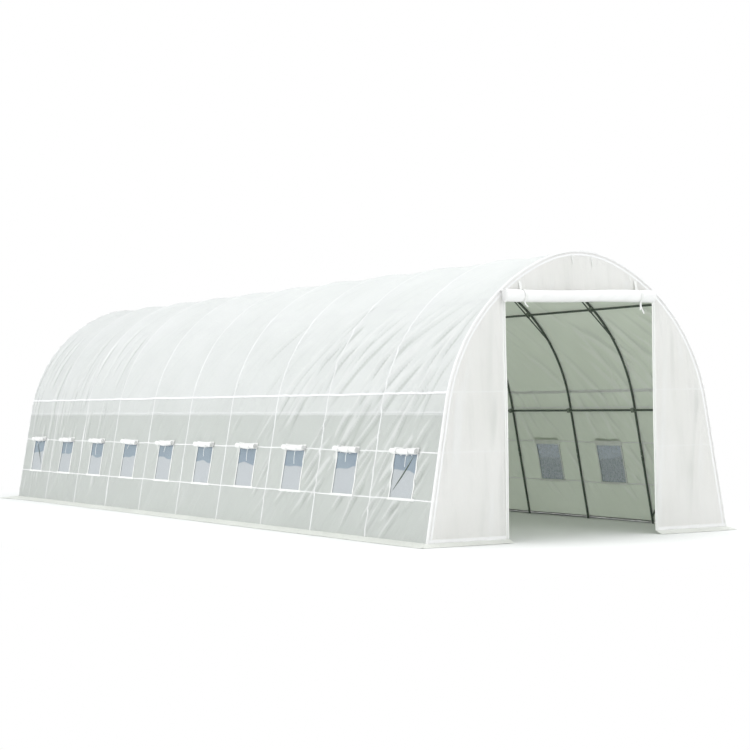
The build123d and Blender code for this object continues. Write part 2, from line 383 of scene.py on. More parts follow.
# %% Finish the floor
def pale_floor():
    """A pale floor that turns to the sky's white away from the tunnel."""
    ground = Finish("pale_floor")
    x, y, z = ground.place()
    camera_ray = ground.add("ShaderNodeLightPath", output="Is Camera Ray")
    away = ((x.size() - half_width).either(y.size() - cover_back)).fade(0.2, 2.6)
    plain = ground.add(
        "ShaderNodeBsdfPrincipled",
        inputs={"Base Color": (0.80, 0.81, 0.80, 1.0), "Roughness": 0.9},
    )
    white_ground = ground.add("ShaderNodeEmission", inputs={"Color": (1.0, 1.0, 1.0, 1.0)})
    share = (1.0 - away) * camera_ray
    mix = ground.add("ShaderNodeMixShader", inputs={0: share, 1: plain, 2: white_ground})
    return ground.finish(mix)


floor.data.materials.append(pale_floor())
print("floor finished")

# %% [markdown]
# ## The steel frame
# Hoops, purlins and braces are thin-walled steel tube with a dark green powder
# coat. Powder coat is satin, with a faint orange-peel skin and a little dust where
# it has been handled. The CAD tubes already have the right shape, so they stay and
# only get the finish.


# %% Powder-coated tube
def powder_coat():
    coat = Finish("dark_green_powder_coat")
    x, y, z = coat.place()
    where = coat.join(x, y, z)
    cloud = coat.grain(where, 9.0, 4.0)
    peel = coat.grain(where, 900.0, 2.0)
    dust = coat.grain(where, 40.0, 5.0, 0.65).fade(0.62, 0.40)
    colour = coat.blend(cloud, (0.056, 0.078, 0.060, 1.0), (0.088, 0.116, 0.092, 1.0))
    colour = coat.blend(dust * 0.12, colour, (0.22, 0.25, 0.21, 1.0))
    shader = coat.add(
        "ShaderNodeBsdfPrincipled",
        inputs={
            "Base Color": colour,
            "Roughness": 0.36 + 0.12 * cloud,
            "Normal": coat.bump(peel, 0.0002, 0.5),
        },
    )
    return coat.finish(shader)


def clamp_plastic():
    plastic = Finish("pale_clamp_plastic")
    x, y, z = plastic.place()
    where = plastic.join(x, y, z)
    cloud = plastic.grain(where, 60.0, 4.0)
    pebble = plastic.grain(where, 1500.0, 2.0)
    colour = plastic.blend(cloud, (0.16, 0.19, 0.155, 1.0), (0.24, 0.27, 0.225, 1.0))
    shader = plastic.add(
        "ShaderNodeBsdfPrincipled",
        inputs={
            "Base Color": colour,
            "Roughness": 0.5 + 0.15 * cloud,
            "Normal": plastic.bump(pebble, 0.0002, 0.4),
        },
    )
    return plastic.finish(shader)


def zinc_plate():
    zinc = Finish("zinc_plated_steel")
    x, y, z = zinc.place()
    where = zinc.join(x, y, z)
    spangle = zinc.grain(where, 220.0, 4.0)
    colour = zinc.blend(spangle, (0.50, 0.52, 0.53, 1.0), (0.70, 0.71, 0.70, 1.0))
    shader = zinc.add(
        "ShaderNodeBsdfPrincipled",
        inputs={"Base Color": colour, "Metallic": 1.0, "Roughness": 0.3 + 0.2 * spangle},
    )
    return zinc.finish(shader)


green_coat = powder_coat()
pale_plastic = clamp_plastic()
zinc = zinc_plate()


def finish_node(node, material):
    """Give a CAD node its finish. Its mesh stays as it is."""
    slots = frame["nodes"][node].data.materials
    slots.clear()
    slots.append(material)


for name in hoop_names + ["shoulder_braces", "corner_braces", "ridge_purlin"]:
    finish_node(name, green_coat)
for name in ("upper_purlin_left", "upper_purlin_right", "mid_purlin_left", "mid_purlin_right"):
    finish_node(name, green_coat)
for name in ("ridge_clamps", "upper_clamps", "mid_clamps"):
    finish_node(name, pale_plastic)
print("frame finished")

# %% [markdown]
# ## Film, seams and hems
# The cover is a woven plastic film: a coarse net of flat threads between two clear
# skins. It lets light through, so it is a mix of a plain surface and a translucent
# one. Where two widths are welded, and over each hoop, the doubled film looks
# whiter. The creases here are the fine ones: the deep folds are in the mesh. Four
# numbers on each mesh point say where the pattern lies: across and along the cloth,
# how far in from the edge, and how high in a fold. So the weave follows the cloth
# round the arch and up a roll. The folds and the fine creases get painted light:
# a painted highlight on their crests and painted shade in their valleys. The film
# below the purlin gets painted shade, and the inside faces are a greener, darker
# copy of the film: painted shade and painted green light.


# %% Colours as they look
def shade(red, green, blue):
    """A colour given as it looks on a screen, from 0 to 1, as the shader wants it."""
    linear = [v / 12.92 if v <= 0.04045 else ((v + 0.055) / 1.055) ** 2.4 for v in (red, green, blue)]
    return (*linear, 1.0)


# %% Seams and windows
seam_height = 1.21
strip_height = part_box("window_nets_left")[1][2]
sill_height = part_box("window_nets_left")[0][2]
purlin_height = (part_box("mid_purlin_left")[0][2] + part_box("mid_purlin_left")[1][2]) / 2
seam_girth = girth_at(seam_height)
strip_girth = girth_at(strip_height)
sill_girth = girth_at(sill_height)
purlin_girth = girth_at(purlin_height)
WINDOW_WIDTH = 0.38
bay_centres = [(a + b) / 2 for a, b in zip(hoop_places, hoop_places[1:])]
half_length = cover_back
print("seams at", [round(h, 3) for h in (seam_height, strip_height, sill_height)])

# The white of welds and doubled film, also used below as a painted highlight on crests. SHADED is the colour
# of painted shade.
WELD_AND_HIGHLIGHT = shade(0.955, 0.955, 0.955)
SHADED = shade(0.72, 0.74, 0.72)
THREAD_PITCH = 0.009


# %% Woven film
def woven_film(name, light, dark, through, welds=None, painted_shade=None, slant=-0.8, ribs=False):
    """Film of a light and a dark shade, with this share of its light passing through."""
    film = Finish(name)
    across, along = film.attribute("across"), film.attribute("along")
    fold = film.attribute("fold")
    where = film.join(across, along, 0.0)
    cloud = film.grain(where, 1.3, 4.0)
    warp = across.from_nearest(THREAD_PITCH).fade(0.0006, 0.0022)
    weft = along.from_nearest(THREAD_PITCH).fade(0.0006, 0.0022)
    weave = warp if ribs else warp.either(weft)
    narrow, wide = (across, along) if ribs else (along, across)
    pulled = film.join((narrow - wide * slant) * 13.0, (wide + narrow * slant) * 1.3, 0.0)
    crease = film.grain(pulled, 1.0, 3.0, 0.55)
    fine = film.grain(where, 26.0, 3.0)
    colour = film.blend(cloud.fade(0.35, 0.65), light, dark)
    # Painted shade from a mask, mixed towards the shaded colour.
    if painted_shade:
        colour = film.blend(painted_shade(film, across, along), colour, SHADED)
    # Painted shade in the troughs of the fine crease pattern and a painted highlight on its crests; the same
    # pattern is also a real bump below.
    colour = film.blend(crease.fade(0.30, 0.50) * 0.10, colour, SHADED)
    colour = film.blend((1.0 - crease.fade(0.56, 0.72)) * 0.16, colour, WELD_AND_HIGHLIGHT)
    # Painted shade in the valleys of the folds and a painted highlight on their crests, read from the fold
    # attribute.
    colour = film.blend((1.0 - (fold * -1.0).fade(0.05, 0.9)) * 0.55, colour, SHADED)
    colour = film.blend((1.0 - fold.fade(0.35, 1.0)) * 0.6, colour, WELD_AND_HIGHLIGHT)
    colour = film.blend(weave * 0.25, colour, WELD_AND_HIGHLIGHT)
    height = weave * 0.00025 + crease * 0.007 + fine * 0.0012
    glow, share = light, through
    if welds:
        weld = welds(film, across, along)
        colour = film.blend(weld, colour, WELD_AND_HIGHLIGHT)
        height = height + weld * 0.0012
        glow = film.blend(weld * 0.6, light, WELD_AND_HIGHLIGHT)
        share = through - weld * (0.75 * through)
    bump = film.bump(height, 1.0, 0.9)
    front = film.add(
        "ShaderNodeBsdfPrincipled",
        inputs={
            "Base Color": colour,
            "Roughness": 0.48 - 0.1 * weave,
            "Specular IOR Level": 0.3,
            "Normal": bump,
        },
    )
    back = film.add("ShaderNodeBsdfTranslucent", inputs={"Color": glow, "Normal": bump})
    mix = film.add("ShaderNodeMixShader", inputs={0: share, 1: front, 2: back})
    return film.finish(mix)


def wander(film, across, along):
    """Round the arch, but a few millimetres off, as sewn lines are."""
    drift = film.grain(film.join(along * 1.7, 0.0, 0.0), 1.0, 2.0) - 0.5
    return across.size() + drift * 0.02


def cover_welds(film, across, along):
    """Over each hoop, and along the three seams of each side."""
    down = wander(film, across, along)
    hoops = (along - front_hoop).from_nearest(bay).fade(0.0068, 0.0095)
    chest = (down - seam_girth).size().fade(0.0070, 0.0100)
    strips = (down - strip_girth).size().fade(0.0035, 0.0065)
    sills = (down - sill_girth).size().fade(0.0035, 0.0065)
    purlin = (down - purlin_girth + 0.024).size().fade(0.003, 0.007) * 0.4
    return hoops.either(chest.either(strips.either(sills.either(purlin))))


def inner_welds(film, across, along):
    """The same seams from inside, where the lap at the chest seam shows its whole width."""
    lap = (across.size() - seam_girth).size().fade(0.0125, 0.0145)
    purlin = (across.size() - purlin_girth + 0.030).size().fade(0.005, 0.008) * 0.7
    return cover_welds(film, across, along).either(lap.either(purlin))


def cover_painted_shade(film, across, along):
    """Painted shade: the film is mixed towards the shaded colour a little below the chest seam, and more
    below the purlin.
    """
    low = 1.0 - (wander(film, across, along) - purlin_girth).fade(-0.003, 0.003)
    lower = 1.0 - (across.size() - seam_girth).fade(-0.02, 0.02)
    return low * 0.45 + lower * 0.2


def end_welds(film, across, along):
    """Along the arch, a hand's width in from it, and two faint seams across."""
    arch = (film.attribute("edge") - 0.034).size().fade(0.005, 0.010)
    seams = (along - seam_height).size().fade(0.004, 0.008)
    seams = seams.either((along - strip_height).size().fade(0.004, 0.008))
    foot = along.fade(crease_height + 0.022, crease_height + 0.028)
    return arch.either(foot).either(seams * 0.35)


cover_outside = woven_film(
    "cover_film_outside", shade(0.928, 0.932, 0.936), shade(0.908, 0.914, 0.917), 0.36,
    cover_welds, cover_painted_shade,
)
# The inside face is a greener, darker copy of the cover film: painted shade and painted green light of the
# inside.
cover_inside_green_shade = woven_film(
    "cover_film_inside_green_shade", shade(0.905, 0.93, 0.88), shade(0.88, 0.91, 0.85), 0.54,
    inner_welds,
)
end_outside = woven_film(
    "end_film_outside", shade(0.955, 0.948, 0.943), shade(0.94, 0.933, 0.925), 0.27,
    end_welds, slant=-0.06, ribs=True,
)
# The inside face of the end film is a greener, darker copy too: painted shade and painted green light.
end_inside_green_shade = woven_film(
    "end_film_inside_green_shade", shade(0.905, 0.93, 0.885), shade(0.885, 0.91, 0.86), 0.52,
    end_welds, slant=-0.06, ribs=True,
)
skirt_white = woven_film(
    "skirt_film", shade(0.90, 0.91, 0.88), shade(0.87, 0.88, 0.85), 0.12
)
roll_white = woven_film("rolled_film", shade(0.965, 0.965, 0.96), shade(0.95, 0.95, 0.945), 0.08)
print("film finishes ready")


# %% Webbing and tape
def webbing():
    """White polyester tape with a herringbone of fine ribs."""
    tape = Finish("white_webbing")
    x, y, z = tape.place()
    ribs = (z + (x + y) * 0.5).from_nearest(0.0024).fade(0.0002, 0.0011)
    dirt = tape.grain(tape.join(x, y, z), 18.0, 4.0)
    colour = tape.blend(dirt.fade(0.3, 0.7), shade(0.94, 0.94, 0.935), shade(0.91, 0.915, 0.90))
    colour = tape.blend(ribs * 0.25, colour, shade(0.88, 0.89, 0.88))
    shader = tape.add(
        "ShaderNodeBsdfPrincipled",
        inputs={
            "Base Color": colour,
            "Roughness": 0.6 + 0.1 * dirt,
            "Normal": tape.bump(ribs * 0.0004, 1.0, 0.8),
        },
    )
    return tape.finish(shader)


def insect_net(name, pale, deep, cover, mottle):
    """A fine net that is seen through, with this share of it thread. Its upper part is a deeper colour and a
    little more see-through.
    """
    net = Finish(name)
    across, along = net.attribute("across"), net.attribute("along")
    where = net.join(across, along, 0.0)
    threads = across.from_nearest(0.003).fade(0.0002, 0.0012)
    threads = threads.either(along.from_nearest(0.003).fade(0.0002, 0.0012))
    cloud = net.grain(where, 38.0, 4.0, 0.65)
    wave = net.grain(net.join(along * 2.6, 0.0, 0.0), 1.0, 1.0)
    down = (across.size() - strip_girth) / (sill_girth - strip_girth)
    upper = (down + (wave - 0.5) * 0.4).fade(0.40, 0.44)
    cloth = net.add(
        "ShaderNodeBsdfPrincipled",
        inputs={
            "Base Color": net.blend(upper, pale, deep),
            "Roughness": 0.55,
            "Normal": net.bump(threads * 0.0003 + cloud * 0.002, 1.0, 0.7),
        },
    )
    clear = net.add("ShaderNodeBsdfTransparent", inputs={"Color": (0.93, 0.96, 1.0, 1.0)})
    share = cover - 0.08 + 0.16 * threads - 0.08 * upper + (cloud - 0.5) * mottle
    mix = net.add("ShaderNodeMixShader", inputs={0: share, 1: clear, 2: cloth})
    return net.finish(mix)


white_webbing = webbing()
net_outside = insect_net(
    "insect_net_outside", shade(0.77, 0.785, 0.80), shade(0.61, 0.665, 0.72), 0.74, 0.1
)
# Painted shade: the inside face of the net is a dark copy of it, for the net seen from the dim inside
# against the daylight.
net_inside_shaded = insect_net(
    "insect_net_inside", shade(0.46, 0.51, 0.49), shade(0.42, 0.48, 0.43), 0.46, 0.9
)


# %% [markdown]
# ## From a grid of points to a sheet
# A sheet of film could start as a plane that a cloth solver pulls over the hoops.
# Here its shape is already known, an outline pulled tight, so each sheet is a grid
# of points laid along the outline and moved in or out by the folds. Solidify then
# gives it its thickness, with the inside faces in a second finish.


# %% Make sheets
def sheet_from(name, points, finishes, thickness, across, along, edge=1.0, fold=0.0, holes=None):
    """A thin sheet through rows and columns of points, without the cells in holes."""
    rows, columns = points.shape[:2]
    mesh = bpy.data.meshes.new(name)
    number = np.arange(rows * columns).reshape(rows, columns)
    corners = [number[:-1, :-1], number[1:, :-1], number[1:, 1:], number[:-1, 1:]]
    quads = np.stack([c.ravel() for c in corners], axis=1)
    if holes is not None:
        quads = quads[~holes.ravel()]
    mesh.from_pydata(points.reshape(-1, 3).tolist(), [], quads.tolist())
    shape = (rows, columns)
    facts = {"across": across, "along": along, "edge": edge, "fold": fold}
    for key, values in facts.items():
        layer = mesh.attributes.new(key, "FLOAT", "POINT")
        values = np.broadcast_to(np.asarray(values, dtype=np.float32), shape)
        layer.data.foreach_set("value", np.ascontiguousarray(values).ravel())
    piece = bpy.data.objects.new(name, mesh)
    bpy.context.scene.collection.objects.link(piece)
    for finish in finishes:
        mesh.materials.append(finish)
    bpy.ops.object.select_all(action="DESELECT")
    piece.select_set(True)
    bpy.context.view_layer.objects.active = piece
    if holes is not None:
        bpy.ops.object.mode_set(mode="EDIT")
        bpy.ops.mesh.select_all(action="SELECT")
        bpy.ops.mesh.delete_loose(use_verts=True, use_edges=True, use_faces=False)
        bpy.ops.object.mode_set(mode="OBJECT")
    wall = piece.modifiers.new("thickness", "SOLIDIFY")
    wall.thickness = thickness
    wall.offset = -1.0
    wall.material_offset = len(finishes) - 1
    bpy.ops.object.modifier_apply(modifier=wall.name)
    bpy.ops.object.shade_smooth_by_angle(angle=math.radians(50))
    return piece


def ribbon_from(name, path, side, width, thickness, finish=None):
    """A flat tape along a path. Side is the direction of its width."""
    path = np.asarray(path, dtype=float)
    side = np.broadcast_to(np.asarray(side, dtype=float), path.shape)
    offsets = np.array([-0.5, 0.0, 0.5]) * width
    points = path[:, None, :] + side[:, None, :] * offsets[None, :, None]
    steps = np.linalg.norm(np.diff(path, axis=0), axis=1)
    along = np.concatenate([[0.0], np.cumsum(steps)])
    finishes = [finish or white_webbing]
    return sheet_from(name, points, finishes, thickness, offsets[None, :], along[:, None])


def dress(piece, slot, *nodes):
    """Tie a piece to the frame and hide the nodes that it stands for; slot is not used."""
    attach(piece, "root")
    if nodes:
        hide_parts(*nodes)
    return piece


def merge(name, pieces):
    """Join several meshes into one piece."""
    bpy.ops.object.select_all(action="DESELECT")
    for piece in pieces:
        piece.select_set(True)
    bpy.context.view_layer.objects.active = pieces[0]
    bpy.ops.object.join()
    pieces[0].name = name
    pieces[0].data.name = name
    return pieces[0]


print("sheet tools ready")

# %% [markdown]
# ## Folds in a stretched cover
# A cover pulled over hoops sags a little between them, and where it is pulled
# unevenly it wrinkles along the pull. On this tunnel the pull runs from the top of
# each hoop down and back along the tunnel, and near the far end it runs straight
# down. Each fold is one soft ridge with a shallow valley beside it, so a few
# hundred of them, spread with a seeded random generator, make cloth that looks
# pulled. At the hoops the film lies on the tube, so the folds there only stand out.
# Over the braces of the end bays it has little room to go in.

# %% Spread the folds
STRENGTH_PLACES = [0.0, 0.11, 0.22, 0.33, 0.66, 0.78, 1.0]
STRENGTHS = [1.5, 1.4, 1.0, 0.55, 0.35, 1.1, 1.4]


def spread_folds(side, seed):
    """Folds as rows: girth and Y of both ends, width, height and bend."""
    pick = np.random.default_rng(seed)
    lean = 1.0 if side < 0 else -1.0
    folds = []

    def fold(top, place, fall, run, width, height):
        bend = pick.uniform(-0.06, 0.06) * fall
        folds.append((top, place, top + fall, place + run, width, height, bend))

    for number, start in enumerate(hoop_places[:-1]):
        along_tunnel = number / (bay_count - 1)
        strength = np.interp(along_tunnel, STRENGTH_PLACES, STRENGTHS)
        slope = lean * np.interp(along_tunnel, [0.0, 0.6, 0.75, 1.0], [1.0, 0.9, 0.12, 0.08])
        for _ in range(int(7 * strength * strength)):
            fall = pick.uniform(0.35, 0.95)
            fold(pick.uniform(0.75, 1.5), start + pick.uniform(0.0, bay), fall,
                 fall * slope * pick.uniform(0.55, 1.3),
                 pick.uniform(0.022, 0.042), strength * pick.uniform(0.003, 0.009))
        for _ in range(int(5 + 9 * strength)):
            fall = pick.uniform(0.25, 0.8)
            fold(pick.uniform(seam_girth - 0.3, strip_girth), start + pick.uniform(0.0, bay), fall,
                 fall * slope * pick.uniform(0.5, 1.3),
                 pick.uniform(0.016, 0.032), strength * pick.uniform(0.003, 0.008))
        for _ in range(int(3 + 6 * strength)):
            fall = pick.uniform(0.2, 0.5)
            fold(pick.uniform(strip_girth, sill_girth), start + pick.uniform(0.0, bay), fall,
                 fall * slope * pick.uniform(0.6, 1.4),
                 pick.uniform(0.014, 0.026), strength * pick.uniform(0.003, 0.007))
    for number in range(14):
        fall = pick.uniform(0.6, 1.25)
        fold(0.75 + 0.07 * number, front_hoop + 0.02 + 0.012 * number, fall,
             fall * pick.uniform(0.35, 0.9) * (1 if side < 0 else 0.4),
             pick.uniform(0.02, 0.034), pick.uniform(0.004, 0.009))
    return np.array(folds)


fold_sets = {-1: spread_folds(-1, 17), 1: spread_folds(1, 23)}
ripple_pick = np.random.default_rng(5)
ripples = ripple_pick.uniform([2, 2, 0, 0.0003], [14, 9, 6.28, 0.0007], (26, 4))


# %% The film's surface
def fold_heights(girth, place):
    """How far the folds stand out of the film at each girth and Y."""
    total = np.zeros(np.broadcast(girth, place).shape)
    for side, folds in fold_sets.items():
        mine = (np.sign(girth) == side) | (np.abs(girth) < 1e-6)
        if not np.any(mine):
            continue
        down = np.abs(girth)
        for top, y0, foot, y1, width, height, bend in folds:
            run = np.array([foot - top, y1 - y0])
            length = math.hypot(*run)
            run = run / length
            share = ((down - top) * run[0] + (place - y0) * run[1]) / length
            off = (down - top) * run[1] - (place - y0) * run[0] + bend * (share - 0.5) ** 2
            near = mine & (share > 0) & (share < 1) & (np.abs(off) < 4 * width)
            if not np.any(near):
                continue
            taper = np.sin(np.pi * np.clip(share[near], 0, 1)) ** 0.8
            ridge = np.exp(-((off[near] / width) ** 2))
            valley = np.exp(-(((off[near] - 1.5 * width) / (0.8 * width)) ** 2))
            total[near] += height * taper * (ridge - 0.8 * valley)
    return total


def ripple_heights(girth, place):
    """The slow waves left in a film that was folded in its box."""
    total = np.zeros(np.broadcast(girth, place).shape)
    for wide, tall, start, height in ripples:
        total += height * np.sin(wide * girth + tall * place * 2 + start)
    return total


def brace_room(girth, place):
    """How far in the film may go: less over the braces in the end bays."""
    from_end = back_hoop - np.abs(place)
    down = (np.abs(girth) - leg_girth) / (crease_girth - leg_girth)
    off = np.abs(down - from_end / bay) * bay * 0.7
    room = np.interp(off, [0.03, 0.13], [0.0030, 0.0245])
    return np.where(from_end < bay * 1.05, room, 0.0245)


def film_lift(girth, place):
    """How far the film is out from the arch: sag between hoops, and folds."""
    girth, place = np.broadcast_arrays(np.asarray(girth, float), np.asarray(place, float))
    share = np.mod((place - front_hoop) / bay, 1.0)
    inside = (place > front_hoop) & (place < back_hoop)
    stops = [0.0, crown_girth, girth_at(1.6), seam_girth, strip_girth, crease_girth]
    depth = np.interp(np.abs(girth), stops, [0.017, 0.018, 0.016, 0.010, 0.005, 0.0])
    sag = np.where(inside, depth * 4 * share * (1 - share), 0.0)
    to_hoop = np.where(inside, np.minimum(share, 1 - share) * bay, 0.0)
    clear = np.clip(to_hoop / 0.07, 0, 1)
    clear = clear * clear * (3 - 2 * clear)
    folds = fold_heights(girth, place) + ripple_heights(girth, place)
    ends = np.clip((half_length - np.abs(place)) / 0.08, 0, 1)
    foot = np.clip((crease_girth - np.abs(girth)) / 0.05, 0, 1)
    beside = np.abs(share - 0.5) * bay - WINDOW_WIDTH / 2
    below = np.maximum(strip_girth - np.abs(girth), np.abs(girth) - sill_girth)
    from_window = np.clip(np.maximum(beside, below) / 0.05, 0, 1)
    foot = foot * (0.25 + 0.75 * from_window)
    folds = np.where(folds < 0, folds * clear, folds) * ends * foot
    return np.maximum(folds - sag, -brace_room(girth, place)) * np.where(inside, 1.0, 0.0)


def film_point(girth, place, out=0.0):
    """A grid of points on the film, or this far out from it."""
    girth, place = np.meshgrid(np.asarray(girth, float), np.asarray(place, float), indexing="ij")
    x, z, out_x, out_z = outline(girth)
    lift = film_lift(girth, place) + out
    return np.stack([x + lift * out_x, place, z + lift * out_z], axis=-1), girth, place


def cuts(stops, spacing):
    """Numbers from the first stop to the last, about this far apart, that hold every stop."""
    parts = [np.linspace(a, b, max(1, round(abs(b - a) / spacing)) + 1)[:-1]
             for a, b in zip(stops, stops[1:])]
    return np.concatenate(parts + [[stops[-1]]])


def fold_highlight_and_shade(girth, place):
    """1 on the crest of a full fold and -1 in its valley, and 0 over the crown: the mask for the painted
    highlight on fold crests and the painted shade in their valleys.
    """
    ends = np.clip((half_length - np.abs(place)) / 0.03, 0, 1)
    below_crown = np.clip((np.abs(girth) - 0.45) / 0.45, 0, 1)
    return np.clip(fold_heights(girth, place) / 0.0065, -1, 1) * ends * below_crown


print("folds:", sum(len(f) for f in fold_sets.values()))

# %% [markdown]
# ## The cover
# The cover is three long sheets: one over the top, down to a seam at chest height,
# and one down each side. The roof laps over the sides at the seam. The windows are
# holes in the side sheets, so the grid has a line on each of their edges.

# %% Lay the roof
roof_edge = seam_girth + 0.012
lower_rows = cuts([0.7, seam_girth - 0.05, roof_edge], 0.025)
roof_rows = np.concatenate([-lower_rows[::-1], cuts([-0.7, 0.7], 0.07)[1:-1], lower_rows])
roof_columns = cuts([cover_front] + hoop_places + [cover_back], 0.025)
points, across, along = film_point(roof_rows, roof_columns)
lap = np.clip((np.abs(across) - seam_girth + 0.05) / 0.03, 0, 1) * 0.0018
x, z, out_x, out_z = outline(across)
points[..., 0] += lap * out_x
points[..., 2] += lap * out_z
roof = sheet_from("cover_roof", points, [cover_outside, cover_inside_green_shade], 0.0012, across, along,
                  fold=fold_highlight_and_shade(across, along))
dress(roof, "cover_film", "cover_crown", "cover_upper_shoulder_left",
      "cover_upper_shoulder_right", "cover_lower_shoulder_left", "cover_lower_shoulder_right")
2 * roof_edge
print("roof triangles:", sum(len(f.vertices) - 2 for f in roof.data.polygons))

# %% Hang the sides
window_edges = [c + s * WINDOW_WIDTH / 2 for c in bay_centres for s in (-1, 1)]
side_columns = cuts(sorted([cover_front] + hoop_places + window_edges + [cover_back]), 0.0195)
for side, hand in ((-1, "left"), (1, "right")):
    stops = [seam_girth - 0.012, strip_girth, sill_girth, crease_girth]
    rows = side * cuts(stops, 0.0185)
    rows = np.sort(rows)
    points, across, along = film_point(rows, side_columns)
    middle_girth = np.abs((across[:-1, :-1] + across[1:, :-1]) / 2)
    middle_place = (along[:-1, :-1] + along[:-1, 1:]) / 2
    to_window = np.abs(middle_place[..., None] - np.array(bay_centres)).min(axis=-1)
    holes = (middle_girth > strip_girth) & (middle_girth < sill_girth)
    holes &= to_window < WINDOW_WIDTH / 2
    side_sheet = sheet_from(f"cover_side_{hand}", points, [cover_outside, cover_inside_green_shade],
                            0.0012, across, along, fold=fold_highlight_and_shade(across, along), holes=holes)
    dress(side_sheet, "cover_film", f"cover_wall_{hand}")
    print(side_sheet.name, "triangles:",
          sum(len(f.vertices) - 2 for f in side_sheet.data.polygons))

# %% [markdown]
# ## Windows
# Each window is a hole with an insect net behind it, and a flap that rolls up
# outside and is tied with tapes. The net is its own thin sheet just inside the
# film. White hems frame the hole down both sides and along the sill, outside and in.

# %% Stretch the nets
net_rows = np.linspace(strip_girth - 0.012, sill_girth + 0.012, 14)
hand_sides = (("left", -1), ("right", 1))
net_pieces = {"left": [], "right": []}
for hand, side in hand_sides:
    for number, centre in enumerate(bay_centres, 1):
        places = np.linspace(centre - WINDOW_WIDTH / 2 - 0.012, centre + WINDOW_WIDTH / 2 + 0.012, 14)
        rows = np.sort(side * net_rows)
        points, across, along = film_point(rows, places, -0.0018)
        belly = np.outer(np.sin(np.linspace(0, math.pi, 14)), np.sin(np.linspace(0, math.pi, 14)))
        points[..., 0] -= side * 0.007 * belly
        net = sheet_from(f"window_net_{hand}_{number:02d}", points, [net_outside, net_inside_shaded], 0.0005,
                         across, along)
        dress(net, "window_net", *([f"window_nets_{hand}"] if number == 1 else []))
        net_pieces[hand].append(net)
print("nets:", sum(len(v) for v in net_pieces.values()))


# %% Sew the hems
def film_patch(name, girths, places, out, finish, thickness):
    """A strip of tape that lies on the film."""
    points, across, along = film_point(girths, places, out)
    return sheet_from(name, points, [finish], thickness, across, along)


hem_pieces = {"left": [], "right": []}
for hand, side in hand_sides:
    strips = []
    for number, centre in enumerate(bay_centres, 1):
        down = np.sort(side * np.linspace(strip_girth + 0.01, sill_girth + 0.004, 18))
        for edge in (-1, 1):
            middle = centre + edge * (WINDOW_WIDTH / 2 - 0.001)
            places = middle + np.array([-0.009, 0.0, 0.009])
            strips.append(film_patch(f"hem_{edge}", down, places, 0.0034, white_webbing, 0.0022))
        sill = np.sort(side * (sill_girth + np.array([-0.011, 0.0, 0.011])))
        places = np.linspace(centre - WINDOW_WIDTH / 2 - 0.03, centre + WINDOW_WIDTH / 2 + 0.03, 22)
        strips.append(film_patch("hem_sill", sill, places, 0.0026, white_webbing, 0.0014))
        for edge in (-1, 1):
            places = centre + edge * (WINDOW_WIDTH / 2 + 0.002) + np.array([-0.007, 0.0, 0.007])
            strips.append(film_patch("inner_hem", down, places, -0.0034, white_webbing, 0.0012))
        places = np.linspace(centre - WINDOW_WIDTH / 2 - 0.02, centre + WINDOW_WIDTH / 2 + 0.02, 18)
        for middle, half in ((strip_girth + 0.008, 0.022), (sill_girth + 0.002, 0.009)):
            band = np.sort(side * (middle + np.array([-half, 0.0, half])))
            strips.append(film_patch("inner_band", band, places, -0.0040, white_webbing, 0.0014))
    hems = merge(f"window_hems_{hand}", strips)
    dress(hems, "cover_film")
    hem_pieces[hand].append(hems)
    print(hems.name, len(strips), "strips")

side_area = (crease_girth - seam_girth + 0.012) * (cover_back - cover_front)
hole_area = bay_count * WINDOW_WIDTH * (sill_girth - strip_girth)
for hand, side in hand_sides:
    crease_girth - seam_girth + 0.012
    side_area - hole_area
print("each side's film:", round(side_area - hole_area, 2), "square metres")


# %% [markdown]
# ## Rolled flaps
# A rolled flap is one long sheet wound into a spiral, loose enough for its turns to
# show at the ends. A spiral path swept along the roll gives just that. The roll is
# pulled thinner where tapes tie it, and swells between them.

# %% Wind a roll
def roll_path(core, outer, pitch, tail, points_per_turn):
    """Out and up of a spiral, from its core to its back, then straight up by tail."""
    turns = (outer - core) / pitch
    turned = np.linspace(0, 2 * math.pi * turns, int(turns * points_per_turn))
    angle = math.pi + (turned[-1] - turned)
    radius = core + pitch * turned / (2 * math.pi)
    out, up = radius * np.cos(angle), radius * np.sin(angle)
    rise = np.linspace(0, tail, 4)[1:]
    return np.concatenate([out, np.full(3, -outer)]), np.concatenate([up, rise])


def wind_roll(name, centres, out_way, up_way, path, finish, thickness, ties, uneven, seed):
    """A roll about a line of centres. Ties are places along it where it is pulled in."""
    out, up = path
    centres = np.asarray(centres, float)
    way = centres[-1] - centres[0]
    length = np.linalg.norm(way)
    far = np.linalg.norm(centres - centres[0], axis=1)
    pick = np.random.default_rng(seed)
    swell = np.zeros(len(centres))
    for _ in range(5):
        swell += np.sin(far * pick.uniform(3, 16) / length * 1.7 + pick.uniform(0, 6.28))
    girdle = sum(np.exp(-(((far - t * length) / 0.022) ** 2)) for t in ties)
    angle = np.arctan2(up, out)
    scale = 1.0 + uneven * 0.35 * swell[None, :] - uneven * 2.2 * girdle[None, :]
    scale = scale + uneven * 0.5 * np.sin(2 * angle[:, None] + 9 * far[None, :] / length + seed)
    rolled = np.ones(len(out))
    rolled[-3:] = 0.0
    scale = 1.0 + (scale - 1.0) * rolled[:, None]
    points = centres[None] + (out[:, None] * scale)[..., None] * np.asarray(out_way)
    points = points + (up[:, None] * scale)[..., None] * np.asarray(up_way)
    steps = np.concatenate([[0.0], np.cumsum(np.hypot(np.diff(out), np.diff(up)))])
    across, along = np.broadcast_arrays(far[None, :], steps[:, None])
    piece = sheet_from(name, points, [finish], thickness, across, along)
    return piece, steps[-1], length


print("roll tools ready")

